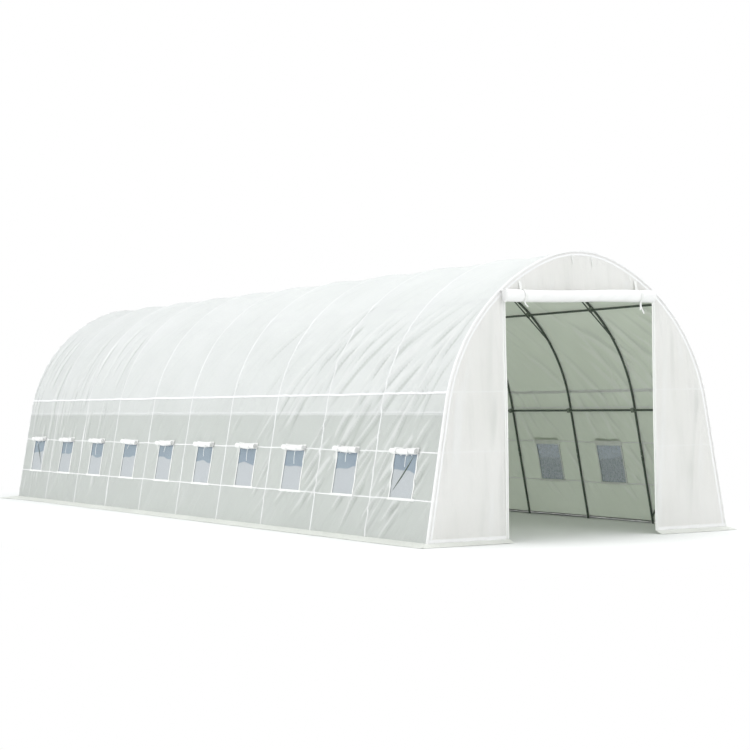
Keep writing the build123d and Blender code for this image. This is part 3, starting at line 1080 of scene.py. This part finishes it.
# %% Roll up the window flaps
FLAP_RADIUS = 0.0255
FLAP_LENGTH = 0.405
flap_path = roll_path(0.004, FLAP_RADIUS, 0.0041, 0.034, 17)
tie_pieces = 0
for hand, side in hand_sides:
    for number, centre in enumerate(bay_centres, 1):
        pick = np.random.default_rng(100 + number * side)
        places = centre + side * np.linspace(-0.5, 0.5, 25) * FLAP_LENGTH
        seat = np.array([side * (strip_girth - 0.004)])
        points, _, _ = film_point(seat, places, FLAP_RADIUS + 0.0035)
        centres = points[0].copy()
        centres[:, 0] = centres[:, 0].mean() + 0.0015 * np.sin(np.linspace(0, 5, 25) + number)
        droop = 0.006 * np.sin(np.linspace(0, math.pi, 25)) + pick.uniform(-0.005, 0.005) * (
            np.linspace(-1, 1, 25)
        )
        centres[:, 2] = centres[:, 2].mean() - droop
        out_way = np.array([side * math.cos(LEAN), 0.0, math.sin(LEAN)])
        up_way = np.array([-side * math.sin(LEAN), 0.0, math.cos(LEAN)])
        ties = (0.24 + pick.uniform(-0.04, 0.04), 0.76 + pick.uniform(-0.04, 0.04))
        roll, wound, long_side = wind_roll(
            f"window_roll_{hand}_{number:02d}", centres, out_way, up_way, flap_path,
            roll_white, 0.0033, ties, 0.045, 60 + number + 40 * side,
        )
        dress(roll, "rolled_film", *([f"window_rolls_{hand}"] if number == 1 else []))
        tapes = []
        for share in ties:
            spot = centres[round(share * 24)]
            angles = np.radians(np.linspace(150, -150, 22))
            loop = [spot + (FLAP_RADIUS + 0.0012) * 0.93 * (math.cos(a) * out_way + math.sin(a) * up_way)
                    for a in angles]
            loop.insert(0, spot - FLAP_RADIUS * out_way + 0.04 * up_way)
            tapes.append(ribbon_from("tie", loop, (0, side, 0), 0.009, 0.0008))
            hang = pick.uniform(0.07, 0.17)
            drift = pick.uniform(-0.035, 0.035)
            start = spot + (FLAP_RADIUS + 0.0018) * out_way * 0.95
            steps = np.linspace(0, 1, 9)
            tail = [start + np.array([side * 0.003 * math.sin(3 * s) + side * 0.012 * s,
                                      drift * s * s, 0.0]) - up_way * hang * s for s in steps]
            tapes.append(ribbon_from("tail", tail, (0, side, 0), 0.006, 0.0008))
        ties_piece = merge(f"window_ties_{hand}_{number:02d}", tapes)
        dress(ties_piece, "rolled_film")
        tie_pieces += 1
print("flaps are", round(wound, 2), "m long; tied rolls:", tie_pieces)

# %% [markdown]
# ## The ends
# At the door end, a gable hangs above the doorway and a panel stands on each side of
# it. The far end is the same, with a curtain zipped across. These hang more loosely
# than the cover, in soft upright folds that die away at the arch, where the film is
# held. Each is a grid whose outer edge follows the arch.

# %% Shape the end sheets
door_half = -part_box("front_panel_left")[1][0]
door_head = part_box("front_gable")[0][2]
jamb_top_height = door_head + 0.012
end_pick = np.random.default_rng(31)
end_folds = end_pick.uniform(
    [-1.5, 0.03, -0.16, 0.003, 0.1, 0.5], [1.5, 0.07, 0.16, 0.009, 1.9, 1.4], (64, 6)
)


def end_lift(x, z, room):
    """How far an end sheet stands out, with no folds near the arch."""
    total = 0.0012 * np.sin(9 * x + 2 * z) + 0.0012 * np.sin(23 * x - 3 * z)
    for place, width, lean, height, middle, tall in end_folds:
        off = x - place - lean * (z - 1.0)
        share = np.clip(1 - ((z - middle) / tall) ** 2, 0, 1)
        total = total + height * share * (
            np.exp(-((off / width) ** 2)) - 0.5 * np.exp(-(((off - 1.6 * width) / width) ** 2))
        )
    depth = depth_inside(x, z)
    free = np.clip((depth - 0.03) / 0.10, 0, 1)
    total = total * free * free * (3 - 2 * free)
    return np.clip(total, -room, 0.012)


def end_sheet(name, x, z, end, finishes, out, room, slot, nodes, flat):
    """A sheet over X and Z at one end: -1 the door end, 1 the far end."""
    place = end * (half_length + out + end_lift(x * end, z, room))
    points = np.stack([x, place, z], axis=-1)
    if end < 0:
        points = points[:, ::-1]
        x, z = x[:, ::-1], z[:, ::-1]
    # Painted highlight on the crests of the end folds and painted shade in their valleys, as on the cover;
    # the valleys are kept weaker.
    end_fold_light = np.clip(end_lift(x * end, z, 0.01) / 0.012, -0.6, 1)
    piece = sheet_from(name, points, finishes, 0.0012, x, z, depth_inside(x, z), end_fold_light)
    dress(piece, slot, *nodes)
    area = float(abs(np.sum((x[:-1, -1] - x[:-1, 0]) * np.diff(z[:, 0]))))
    min(area, flat[0] * flat[1])
    return piece


end_finishes = [end_outside, end_inside_green_shade]
for end, where in ((-1, "front"), (1, "back")):
    for hand, side in hand_sides:
        heights = cuts([crease_height - 0.004, leg_rise, jamb_top_height], 0.022)
        share = np.linspace(0, 1, 38)
        outer = half_width_at(heights, 0.0005)[:, None]
        inner = door_half + 0.0005
        x = side * (inner + (outer - inner) * share[None, :])
        if side < 0:
            x = x[:, ::-1]
        z = np.broadcast_to(heights[:, None], x.shape)
        end_sheet(f"{where}_end_{hand}", x, z, end, end_finishes, -0.0008, 0.0022, "end_film",
                  [f"{where}_panel_{hand}"], (outer[0, 0] - inner, heights[-1] - heights[0]))
    low = math.asin((door_head - 0.012 - crown_z) / crown_radius)
    heights = crown_z + crown_radius * np.sin(np.linspace(low, math.radians(88.5), 34))
    outer = half_width_at(heights, 0.0005)[:, None]
    x = outer * np.linspace(-1, 1, 62)[None, :]
    z = np.broadcast_to(heights[:, None], x.shape)
    end_sheet(f"{where}_end_gable", x, z, end, end_finishes, -0.0004, 0.0022, "end_film",
              [f"{where}_gable"], (2 * outer[0, 0], heights[-1] - heights[0]))
print("ends covered; the doorway is", round(2 * door_half, 2), "m wide")

# %% Hang the far curtain
curtain_low, curtain_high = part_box("back_door_curtain")
heights = cuts([curtain_low[2] + 0.002, seam_height, curtain_high[2]], 0.022)
x = np.linspace(-door_half - 0.006, door_half + 0.006, 90)[None, :]
x = np.repeat(x, len(heights), axis=0)
z = np.broadcast_to(heights[:, None], x.shape)
sway = 0.010 * np.sin(x * 17 + 0.6 * np.sin(3 * z)) * np.clip((2.0 - z) / 1.4, 0.1, 1)
sway = sway * np.clip((door_half - 0.01 - np.abs(x)) / 0.12, 0, 1)
place = half_length + 0.0004 + np.clip(sway + end_lift(x, z, 0.0022), -0.0022, 0.02)
points = np.stack([x, place, z], axis=-1)
curtain = sheet_from("back_curtain", points, end_finishes, 0.0012, x, z, 1.0)
dress(curtain, "end_film", "back_door_curtain")
print("curtain", round(curtain_high[2] - curtain_low[2], 2), "m high")

# %% [markdown]
# ## Binding and zips
# A white binding tape is sewn over the edge where each end meets the cover, from the
# ground right over the arch. It is a folded strip: part on the end, part on the
# cover. Down both sides of each doorway runs a zip on its own tape.

# %% Bind the arches
bind_pieces = {}
for end, where in ((-1, "front"), (1, "back")):
    girths = np.linspace(-crease_girth, crease_girth, 260)
    section = np.array([
        [0.013, 0.0012], [0.009, 0.0020], [0.004, 0.0020], [-0.0014, 0.0012],
        [-0.0024, -0.003], [-0.0026, -0.008], [-0.0016, -0.014],
    ])
    wave = 0.0008 * np.sin(girths * 37) + 0.0006 * np.sin(girths * 91 + 2)
    points = np.zeros((len(girths), len(section), 3))
    for column, (inset, out) in enumerate(section):
        bx, bz, _, _ = outline(girths, inset + wave)
        points[:, column] = np.stack([bx, np.full(len(girths), end * (half_length + out)), bz], axis=-1)
    if end > 0:
        points = points[:, ::-1]
    far = np.concatenate([[0], np.cumsum(np.linalg.norm(np.diff(section, axis=0), axis=1))])
    binding = sheet_from(f"{where}_binding", points, [roll_white], 0.0008,
                         far[None, :], girths[:, None])
    dress(binding, "end_film")
    2 * crease_girth
    bind_pieces[where] = binding
print("binding is", round(2 * crease_girth, 2), "m long")


# %% Run the zips down
def zip_finish():
    """White zip tape with a row of fine coils down its middle."""
    coil = Finish("white_zip")
    across, along = coil.attribute("across"), coil.attribute("along")
    row = across.size().fade(0.003, 0.0042)
    teeth = along.from_nearest(0.003).fade(0.0004, 0.0014) * row
    stitch = along.from_nearest(0.006).fade(0.001, 0.002) * (across.size() - 0.010).size().fade(
        0.0005, 0.0012
    )
    grime = coil.grain(coil.join(across * 30.0, along * 6.0, 0.0), 1.0, 4.0)
    colour = coil.blend(grime, shade(0.94, 0.94, 0.93), shade(0.90, 0.905, 0.89))
    colour = coil.blend(row * 0.35, colour, shade(0.80, 0.82, 0.80))
    colour = coil.blend(stitch * 0.4, colour, shade(0.82, 0.83, 0.81))
    shader = coil.add(
        "ShaderNodeBsdfPrincipled",
        inputs={
            "Base Color": colour,
            "Roughness": 0.55 - 0.2 * row,
            "Normal": coil.bump(teeth * 0.0009 + row * 0.001 + stitch * 0.0003, 1.0, 0.9),
        },
    )
    return coil.finish(shader)


white_zip = zip_finish()
for end, where in ((-1, "front"), (1, "back")):
    for hand, side in hand_sides:
        heights = np.linspace(crease_height, jamb_top_height + 0.012, 70)
        centre = np.full(70, side * (door_half + 0.014))
        lift = end_lift(centre * end, heights, 0.0022)
        path = np.stack([centre, end * (half_length + 0.0010 + lift), heights], axis=-1)
        zip_piece = ribbon_from(f"{where}_zip_{hand}", path, (end, 0, 0), 0.030, 0.0014, white_zip)
        dress(zip_piece, "end_film")
        heights[-1] - heights[0]
print("zips are", round(heights[-1] - heights[0], 2), "m long")

# %% [markdown]
# ## The rolled door
# The door is a sheet a little higher than the doorway, rolled up to its head and held
# by two webbing straps, whose loose ends hang in the doorway. It is wound by the same
# spiral as the window flaps, at its own size.

# %% Roll the door up
roll_low, roll_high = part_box("front_door_roll")
DOOR_RADIUS = 0.052
door_centre_z = (roll_low[2] + roll_high[2]) / 2 - 0.008
spots = np.linspace(roll_low[0] + 0.004, roll_high[0] - 0.004, 84) - 0.032
centres = np.zeros((84, 3))
centres[:, 0] = spots
centres[:, 1] = -(half_length + 0.0022 + DOOR_RADIUS)
centres[:, 2] = door_centre_z + 0.004 * np.sin(spots * 5.0) + 0.006 * (spots / 0.7)
STRAPS = (0.115, 0.905)
door_path = roll_path(0.004, DOOR_RADIUS, 0.0042, 0.05, 24)
door_roll, wound, door_width = wind_roll(
    "door_roll", centres, np.array([0, -1.0, 0]), np.array([0, 0, 1.0]), door_path,
    roll_white, 0.0034, STRAPS, 0.035, 3,
)
dress(door_roll, "rolled_film", "front_door_roll")
straps = []
for number, share in enumerate(STRAPS):
    spot = centres[round(share * 83)]
    out_way, up_way = np.array([0, -1.0, 0]), np.array([0, 0, 1.0])
    arch_top = crown_z + math.sqrt(crown_radius**2 - spot[0] ** 2) - 0.036
    angles = np.radians(np.linspace(128, -150, 34))
    grip = (DOOR_RADIUS + 0.002) * 0.94
    loop = [spot + grip * (math.cos(a) * out_way + math.sin(a) * up_way) for a in angles]
    climb = np.array([spot[0], -(half_length + 0.0016), max(arch_top, loop[0][2] + 0.02)])
    loop = [climb + (np.array(loop[0]) - climb) * s for s in (0.0, 0.3, 0.6, 0.85)] + loop
    straps.append(ribbon_from("strap", loop, (1, 0, 0), 0.024, 0.0014))
    tails = (0.10, 0.07) if number else (0.045,)
    for piece_number, hang in enumerate(tails):
        steps = np.linspace(0, 1, 14)
        angle = math.radians(-62)
        start = spot + (grip + 0.0016) * (math.cos(angle) * out_way + math.sin(angle) * up_way)
        sway = 0.022 - 0.040 * piece_number
        tail = [start + np.array([sway * s * s, 0.006 * math.sin(5 * s) - 0.004 * s, -hang * s])
                for s in steps]
        straps.append(ribbon_from("strap_end", tail, (1, 0, 0), 0.014, 0.0013))
    buckle_angles = np.radians(np.linspace(-30, -62, 6))
    patch = [spot + (grip + 0.003) * (math.cos(a) * out_way + math.sin(a) * up_way)
             for a in buckle_angles]
    straps.append(ribbon_from("strap_fold", patch, (1, 0, 0), 0.030, 0.0016))
for place, hang in ((-0.075, 0.075), (0.12, 0.09), (0.50, 0.06)):
    top = crown_z + math.sqrt(crown_radius**2 - place**2) - 0.036
    steps = np.linspace(0, 1, 10)
    tie = [np.array([place + 0.012 * s * s, -(half_length + 0.0018 + 0.006 * s), top - hang * s])
           for s in steps]
    straps.append(ribbon_from("gable_tie", tie, (1, 0, 0), 0.010, 0.0009))
door_straps = merge("door_straps", straps)
dress(door_straps, "rolled_film")
print("rolled door:", round(door_width, 2), "x", round(wound, 2), "m")

# %% [markdown]
# ## The skirt
# The lowest strip of the cover is white and lies out over the ground, where it is
# dug in or weighted. It runs along both sides and round the ends, but not across the
# doorway. It is soft, so its edge wanders and it ripples where it meets the ground.

# %% Spread the skirt
floor_height = cad_box[0][2]


def skirt_sheet(name, inner, outer, nodes, seed):
    """A skirt between an inner edge on the wall and an outer edge on the ground."""
    inner, outer = np.asarray(inner, float), np.asarray(outer, float)
    way = outer - inner
    way[:, 2] = 0.0
    reach = np.linalg.norm(way, axis=1, keepdims=True)
    way = way / reach
    steps = np.linalg.norm(np.diff((inner + outer) / 2, axis=0), axis=1)
    far = np.concatenate([[0.0], np.cumsum(steps)])
    pick = np.random.default_rng(seed)
    waves = pick.uniform([3, 0, 0.3], [30, 6.28, 1.0], (14, 3))
    edge = sum(a * np.sin(w * far + s) / (1 + w / 9) for w, s, a in waves)
    ruck = sum(a * np.sin(1.9 * w * far + 2 * s) for w, s, a in waves) / 5
    share = np.linspace(0, 1, 12)
    reach_now = reach[:, 0] * (1.0 + 0.045 * edge)
    flat_out = inner[:, None, :] + way[:, None, :] * (share[None, :] * reach_now[:, None])[..., None]
    top = inner[:, 2][:, None]
    fall = (1 - share[None, :]) ** 1.25
    z = floor_height + 0.0016 + (top - floor_height - 0.0016) * fall
    swell = np.sin(np.pi * np.clip(share, 0, 1))[None, :] * 0.5 + share[None, :] * 0.5
    z = z + np.abs(ruck[:, None]) * 0.010 * swell
    flat_out[..., 2] = np.maximum(z, floor_height + 0.0016)
    piece = sheet_from(name, flat_out, [skirt_white], 0.0013,
                       share[None, :] * reach_now[:, None], far[:, None])
    dress(piece, "skirt_film", *nodes)
    return piece


side_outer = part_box("skirt_right")[1][0]
end_outer = -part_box("skirt_front")[0][1]
side_inner = half_width_at(crease_height, 0.0) + 0.0006
top_z = crease_height - 0.0004
for hand, side in hand_sides:
    places = np.linspace(-1, 1, 420)
    inner = np.stack([np.full(420, side * side_inner), places * half_length, np.full(420, top_z)], -1)
    outer = np.stack([np.full(420, side * side_outer), places * (end_outer - 0.003),
                      np.zeros(420)], -1)
    reach = 0.62 if side < 0 else 0.9
    near_door = np.clip((places + 1.0) / 0.5, 0, 1)
    reach = reach * (near_door if side > 0 else 1.0) + 0.30 * (1 - near_door) * (side > 0)
    outer[:, 0] = inner[:, 0] + (outer[:, 0] - inner[:, 0]) * reach
    if side < 0:
        outer[-40:, 0] -= 0.11 * np.linspace(0, 1, 40) ** 2
    outer[:, 1] = np.where(places < 0, places * (half_length + 0.085), outer[:, 1])
    if side > 0:
        inner, outer = inner[::-1], outer[::-1]
    skirt_sheet(f"skirt_{hand}_sheet", inner, outer, [f"skirt_{hand}"], 60 + side)
for hand, side in hand_sides:
    share = np.linspace(0, 1, 44)
    x_in = side * (door_half + 0.001 + (side_inner - door_half) * share)
    corner = side_inner + (0.095 if side < 0 else 0.045)
    x_out = side * (door_half + 0.001 + (corner - door_half) * share)
    wall_y = np.full(44, -(half_length + 0.0012))
    inner = np.stack([x_in, wall_y, np.full(44, top_z)], -1)
    outer = np.stack([x_out, np.full(44, -(half_length + 0.085)), np.zeros(44)], -1)
    if side < 0:
        inner, outer = inner[::-1], outer[::-1]
    skirt_sheet(f"skirt_front_{hand}", inner[::-1], outer[::-1],
                ["skirt_front"] if side < 0 else [], 70 + side)
share = np.linspace(-1, 1, 150)
inner = np.stack([share * (side_inner + 0.006), np.full(150, half_length + 0.0012), np.full(150, top_z)], -1)
outer = np.stack([share * (side_outer - 0.003), np.full(150, end_outer), np.zeros(150)], -1)
skirt_sheet("skirt_back_sheet", inner, outer, ["skirt_back"], 80)
print("skirt reaches", round(side_outer - side_inner, 3), "m out")

# %% [markdown]
# ## Fittings on the frame
# The hoops come in lengths that plug together under short sleeves, and screws hold
# the clamps and braces. A sleeve starts as a cylinder: its ends are bevelled, a
# groove is pressed round its middle, and a screw head stands on its inner side. It
# is modelled once at the origin, then copied to each joint.


# %% Model a sleeve and a screw
end_hoop_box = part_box(hoop_names[0])
TUBE_RADIUS = (end_hoop_box[1][1] - end_hoop_box[0][1]) / 2
HOOP_INSET = ridge_height - end_hoop_box[1][2] + TUBE_RADIUS
SLEEVE_RADIUS = TUBE_RADIUS + 0.0016


def model_sleeve():
    """A sleeve about the Z axis, with its screw towards -X."""
    bpy.ops.object.select_all(action="DESELECT")
    bpy.ops.mesh.primitive_cylinder_add(vertices=20, radius=SLEEVE_RADIUS, depth=0.09, location=(0, 0, 0))
    sleeve = bpy.context.object
    bpy.ops.object.mode_set(mode="EDIT")
    bpy.ops.mesh.select_all(action="DESELECT")
    shape = bmesh.from_edit_mesh(sleeve.data)
    for edge in shape.edges:
        edge.select = abs(abs(edge.verts[0].co.z) - 0.045) < 1e-5 and abs(
            edge.verts[0].co.z - edge.verts[1].co.z) < 1e-5
    bmesh.update_edit_mesh(sleeve.data)
    bpy.ops.mesh.bevel(offset=0.0009, segments=2)
    for height, scale in ((0.034, 0.965), (0.0, 0.97), (-0.034, 0.965)):
        for offset in (-0.003, 0.0, 0.003):
            bpy.ops.mesh.select_all(action="SELECT")
            bpy.ops.mesh.bisect(plane_co=(0, 0, height + offset), plane_no=(0, 0, 1))
        bpy.ops.mesh.select_all(action="DESELECT")
        shape = bmesh.from_edit_mesh(sleeve.data)
        for vertex in shape.verts:
            vertex.select = abs(vertex.co.z - height) < 0.0005
        shape.select_flush(True)
        bmesh.update_edit_mesh(sleeve.data)
        bpy.ops.transform.resize(value=(scale, scale, 1), center_override=(0, 0, height))
    bpy.ops.object.mode_set(mode="OBJECT")
    bpy.ops.object.shade_smooth_by_angle(angle=math.radians(40))
    return sleeve


def model_screw():
    """A screw head with its washer, standing on the plane X = 0 towards -X."""
    bpy.ops.object.select_all(action="DESELECT")
    bpy.ops.mesh.primitive_cylinder_add(
        vertices=12, radius=0.0068, depth=0.0012, location=(-0.0006, 0, 0),
        rotation=(0, math.pi / 2, 0),
    )
    screw = bpy.context.object
    bpy.ops.object.transform_apply(location=True, rotation=True, scale=True)
    bpy.ops.object.mode_set(mode="EDIT")
    bpy.ops.mesh.select_all(action="DESELECT")
    shape = bmesh.from_edit_mesh(screw.data)
    for face in shape.faces:
        face.select = face.normal.x < -0.9
    bmesh.update_edit_mesh(screw.data)
    bpy.ops.mesh.inset(thickness=0.0018, depth=0.0)
    bpy.ops.mesh.extrude_region_move(TRANSFORM_OT_translate={"value": (-0.0034, 0, 0)})
    bpy.ops.mesh.inset(thickness=0.0012, depth=0.0004)
    bpy.ops.object.mode_set(mode="OBJECT")
    bpy.ops.object.shade_smooth_by_angle(angle=math.radians(35))
    return screw


def copies(name, pattern, places, finish, slot):
    """Copy a small part to many places, and make them one piece."""
    made = []
    for place in places:
        copy = bpy.data.objects.new(name, pattern.data.copy())
        bpy.context.scene.collection.objects.link(copy)
        copy.data.transform(place)
        made.append(copy)
    piece = merge(name, made)
    piece.data.materials.clear()
    piece.data.materials.append(finish)
    dress(piece, slot)
    return piece


def tube_place(girth, place, inset):
    """A frame on a hoop: X out of the tunnel, Z up round the hoop."""
    x, z, out_x, out_z = (float(v) for v in outline(girth, inset))
    out = Vector((out_x, 0, out_z))
    round_hoop = Vector((-out_z, 0, out_x)) if girth >= 0 else Vector((out_z, 0, -out_x))
    side_way = round_hoop.cross(out)
    turn = Matrix((out, side_way, round_hoop)).transposed().to_4x4()
    return Matrix.Translation((x, place, z)) @ turn


sleeve = model_sleeve()
screw = model_screw()
joint_girths = [girth_at(0.62), crown_girth + 0.42]
sleeve_places = [tube_place(side * g, place, HOOP_INSET)
                 for place in hoop_places for g in joint_girths for side in (-1, 1)]
copies("hoop_sleeves", sleeve, sleeve_places, green_coat, "frame_tube")
screw_places = [tube_place(side * g, place, HOOP_INSET + SLEEVE_RADIUS - 0.0002)
                for place in hoop_places for g in joint_girths for side in (-1, 1)]
for place in hoop_places:
    side_y = -1 if place > front_hoop + 0.1 else 1
    upper_girth = crown_girth + (JOIN - math.radians(45.5)) * shoulder_radius
    lower_girth = leg_girth + (leg_rise - 0.0073 - purlin_height) / math.cos(LEAN)
    for girth in (0.0, upper_girth, -upper_girth, lower_girth, -lower_girth):
        x, z, _, _ = (float(v) for v in outline(girth, HOOP_INSET + TUBE_RADIUS + 0.0003))
        flat = Matrix.Rotation(side_y * -math.pi / 2, 4, "Z").inverted()
        screw_places.append(Matrix.Translation((x, place + side_y * 0.0200, z)) @ flat)
copies("frame_screws", screw, screw_places, zinc, "frame_tube")
for pattern in (sleeve, screw):
    bpy.data.objects.remove(pattern)
print("sleeves:", len(sleeve_places), "screws:", len(screw_places))

# %% [markdown]
# ## Finish
# The last step counts the new pieces and their triangles.

# %% Measure and finish
new_pieces = [o for o in bpy.context.scene.objects if o.type == "MESH" and "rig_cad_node" not in o]
count = sum(sum(len(f.vertices) - 2 for f in o.data.polygons) for o in new_pieces)
print("new pieces:", len(new_pieces), "triangles:", count)
